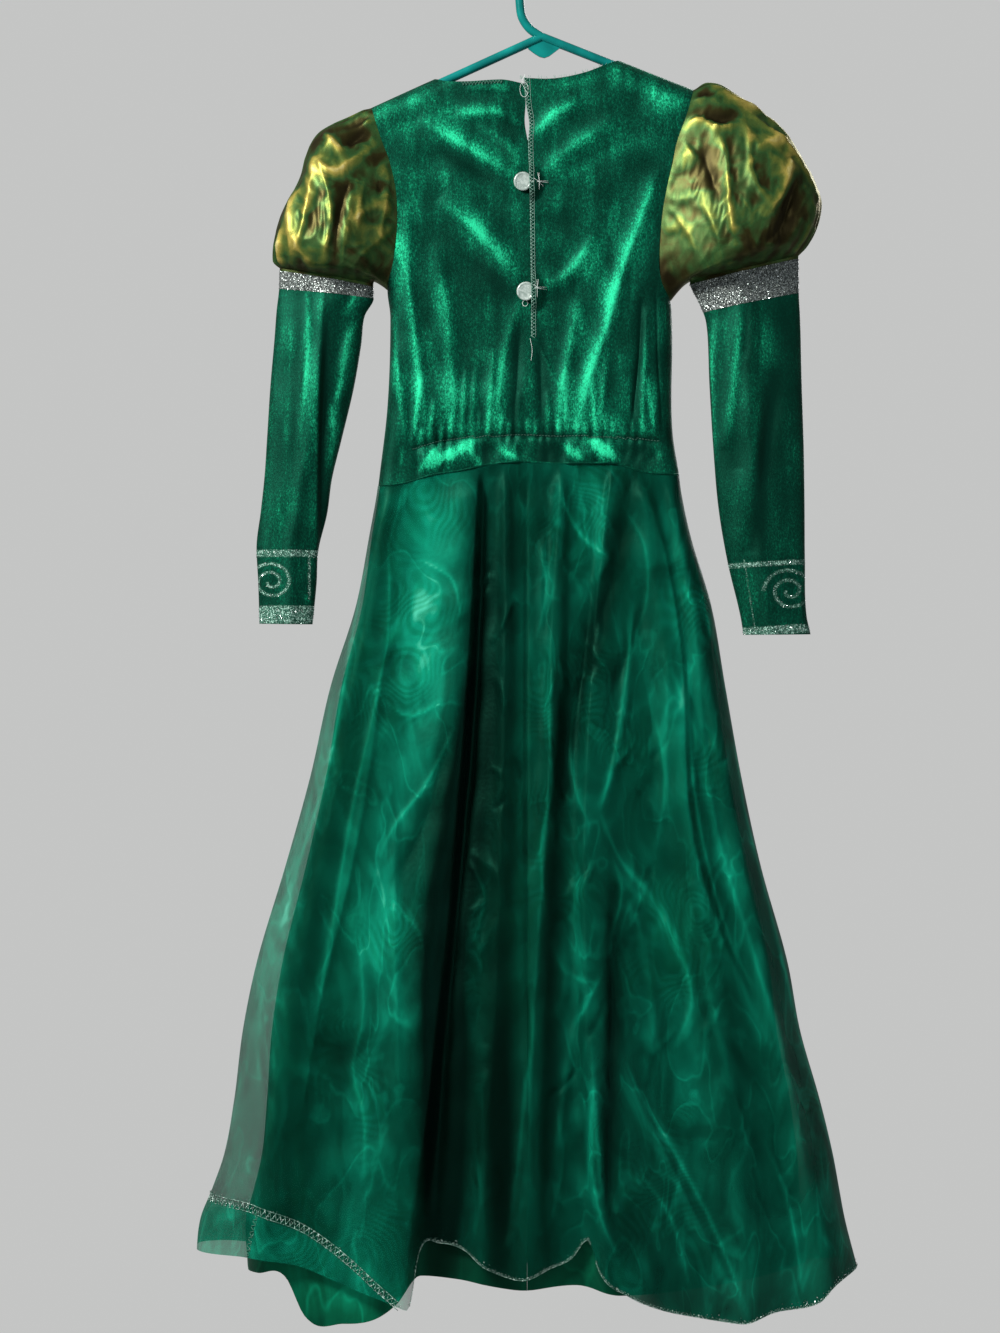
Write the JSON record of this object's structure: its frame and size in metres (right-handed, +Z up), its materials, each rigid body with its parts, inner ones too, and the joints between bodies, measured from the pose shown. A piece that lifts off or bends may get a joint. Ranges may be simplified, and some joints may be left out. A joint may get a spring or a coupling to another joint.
{
  "type": "costume gown on a hanger",
  "caption": "Child's long costume gown with puff sleeves, back buttons and a sheer skirt over a lining, hanging flat on a tubular plastic hanger.",
  "frame": {"origin": "top of the inside of the hanger's hook, where a rail or a wall hook carries it", "axes": "+Z up, +X to the right as seen from the gown's buttoned back, -Y out of the buttoned back"},
  "size_m": [0.561, 0.1058, 1.1706],
  "materials": {
    "velvet": "stretch velvet, emerald green",
    "lame": "shot gold and green lame satin",
    "glitter_ribbon": "silver grey glitter ribbon",
    "organza": "sheer emerald organza",
    "satin": "green satin lining",
    "pearl_plastic": "pearl white",
    "teal_plastic": "moulded teal, glossy"
  },
  "bodies": {
    "root": {"back_bodice_left": "velvet", "back_bodice_right": "velvet", "front_bodice": "velvet", "puff_sleeve_left": "lame", "puff_sleeve_right": "lame", "arm_band_left": "glitter_ribbon", "arm_band_right": "glitter_ribbon", "lower_sleeve_left": "velvet", "lower_sleeve_right": "velvet", "cuff_left": "velvet", "cuff_right": "velvet", "skirt_overlay_back_left": "organza", "skirt_overlay_back_right": "organza", "skirt_overlay_front": "organza", "skirt_lining_back_left": "satin", "skirt_lining_back_right": "satin", "skirt_lining_front": "satin", "button_upper": "pearl_plastic", "button_lower": "pearl_plastic", "hanger": "teal_plastic"}
  },
  "joints": []
}
